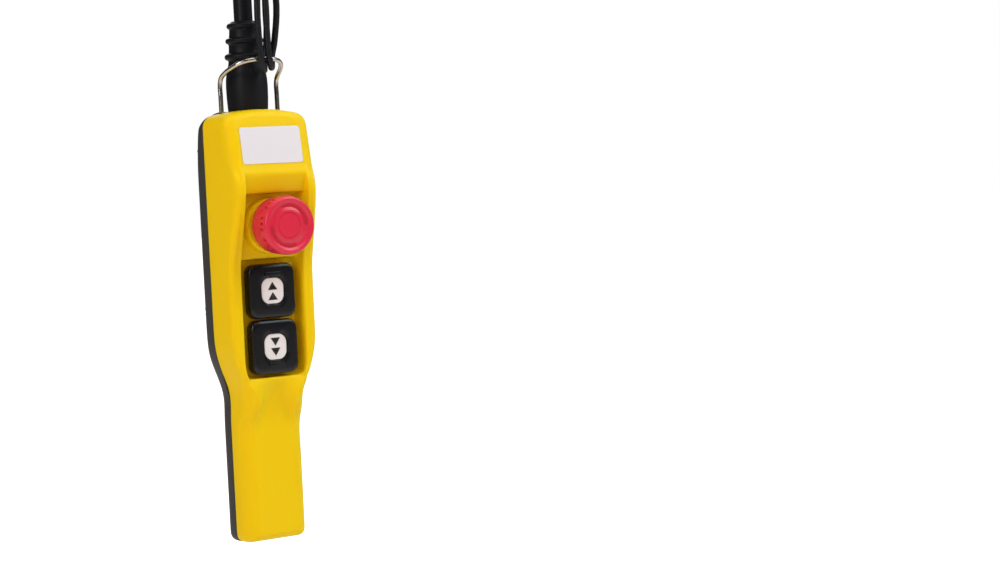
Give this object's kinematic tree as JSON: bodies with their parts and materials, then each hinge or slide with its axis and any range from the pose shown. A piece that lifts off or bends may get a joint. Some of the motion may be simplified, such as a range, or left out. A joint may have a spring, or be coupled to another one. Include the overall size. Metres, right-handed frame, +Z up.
{
  "type": "pendant control station",
  "caption": "Hand-held pendant control station: yellow front shell, dark rear shell, mushroom stop button, up and down push keys, wire bail, cord slings and cable boot.",
  "frame": {"origin": "centre of the hanging eye's bore", "axes": "+Z up along the hanging length, -Y out of the front where the keys are, +X to the right seen from the front"},
  "size_m": [0.07, 0.0653, 0.46],
  "materials": {
    "yellow_shell": "satin moulded",
    "dark_shell": "satin moulded",
    "rubber": "matt",
    "brass": "plain",
    "zinc_steel": "zinc plated",
    "label": "satin",
    "bail_wire": "drawn wire",
    "cable_jacket": "matt",
    "core_insulation": "plain",
    "carrier": "laminate",
    "block_black": "moulded",
    "block_red": "moulded",
    "stop_red": "satin moulded",
    "key_black": "satin moulded",
    "symbol_white": "plain",
    "symbol_black": "printed",
    "clear_lens": "clear moulded",
    "stem_grey": "moulded",
    "copper": "plain",
    "spring_steel": "drawn wire",
    "terminal_steel": "cast, plated",
    "sling_cord": "braided",
    "connector_metal": "anodised"
  },
  "bodies": {
    "housing": {"front_shell": "yellow_shell", "rear_shell": "dark_shell", "shell_gasket": "rubber", "threaded_inserts": "brass", "shell_screws": "zinc_steel", "label_plate": "label", "suspension_bail": "bail_wire", "bail_anchor_plates": "zinc_steel", "bail_anchor_screws": "zinc_steel", "cable_boot": "rubber", "cable_tail": "cable_jacket", "control_cable": "cable_jacket", "cable_clamp": "zinc_steel", "cable_clamp_screws": "zinc_steel", "core_wires": "core_insulation", "contact_carrier": "carrier", "carrier_screws": "zinc_steel", "fixed_contacts": "copper", "terminal_screws": "zinc_steel", "estop_collar": "yellow_shell", "estop_barrel": "block_black", "estop_seal": "rubber", "estop_lock_nut": "zinc_steel", "estop_contact_block": "block_red", "estop_spring": "spring_steel", "up_spring": "spring_steel", "up_stem_seal": "rubber", "up_contact_block": "block_black", "down_spring": "spring_steel", "down_stem_seal": "rubber", "down_contact_block": "block_black", "eye_terminal": "terminal_steel", "eye_ferrule": "terminal_steel", "left_sling_cord": "sling_cord", "right_sling_cord": "sling_cord", "connector_clamp_nut": "connector_metal", "connector_shell": "connector_metal", "connector_insert": "block_black", "connector_contacts": "brass"},
    "stop_plunger": {"estop_plunger": "block_black"},
    "stop_head": {"estop_head": "stop_red", "estop_arrows": "stop_red"},
    "up_key": {"up_key_cap": "key_black", "up_symbol_plate": "symbol_white", "up_arrows": "symbol_black", "up_lens": "clear_lens", "up_stem": "stem_grey", "up_bridge": "copper"},
    "down_key": {"down_key_cap": "key_black", "down_symbol_plate": "symbol_white", "down_arrows": "symbol_black", "down_lens": "clear_lens", "down_stem": "stem_grey", "down_bridge": "copper"}
  },
  "joints": [
    {"name": "stop_push", "type": "slide", "parent": "housing", "child": "stop_plunger", "axis": [0, 1, 0], "range_m": [0, 0.0045], "deforming": ["estop_spring"]},
    {"name": "stop_turn", "type": "hinge", "parent": "stop_plunger", "child": "stop_head", "pos_m": [-0.0025, -0.011, -0.226], "axis": [0, 1, 0], "range_deg": [0, 40], "stiffness_Nm_per_rad": 0.02, "springref_deg": -5.73},
    {"name": "up_press", "type": "slide", "parent": "housing", "child": "up_key", "axis": [0, 1, 0], "range_m": [0, 0.0034], "stiffness_N_per_m": 800, "springref_m": -0.002, "deforming": ["up_spring"]},
    {"name": "down_press", "type": "slide", "parent": "housing", "child": "down_key", "axis": [0, 1, 0], "range_m": [0, 0.0034], "stiffness_N_per_m": 800, "springref_m": -0.002, "deforming": ["down_spring"]}
  ]
}
